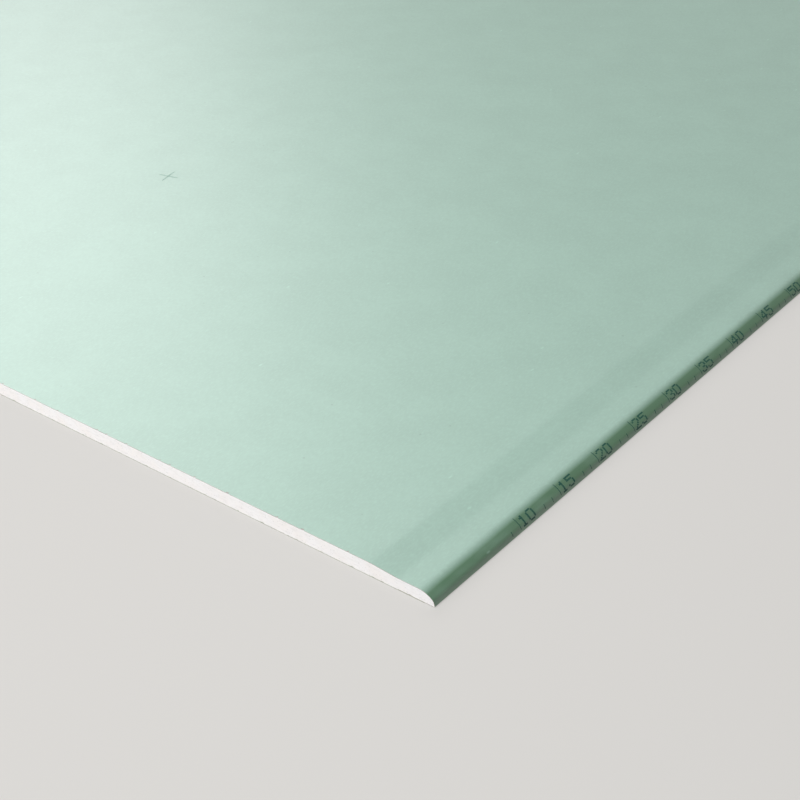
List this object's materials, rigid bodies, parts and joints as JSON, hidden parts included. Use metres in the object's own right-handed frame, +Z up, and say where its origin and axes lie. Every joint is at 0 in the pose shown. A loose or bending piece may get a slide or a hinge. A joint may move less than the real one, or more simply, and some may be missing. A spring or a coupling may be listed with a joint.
{
  "type": "drywall sheet",
  "caption": "Flat moisture-resistant drywall sheet: white gypsum core wrapped in green face paper, with tapered half-round long edges and square cut ends.",
  "frame": {"origin": "middle of the sheet's back, on the floor that it lies on", "axes": "+X across the 1250 mm width, +Y along the 2000 mm length between the cut ends, +Z up out of the face; the sheet lies flat, face up"},
  "size_m": [1.25, 2, 0.0125],
  "materials": {
    "gypsum": "matte, chalky, finely porous on the cut ends",
    "green_paper": "matte green board paper with a faint fibre",
    "back_liner": "matte grey-green recycled liner with flecks"
  },
  "bodies": {
    "root": {"gypsum_core": "gypsum", "face_paper": "green_paper", "back_paper": "back_liner"}
  },
  "joints": []
}
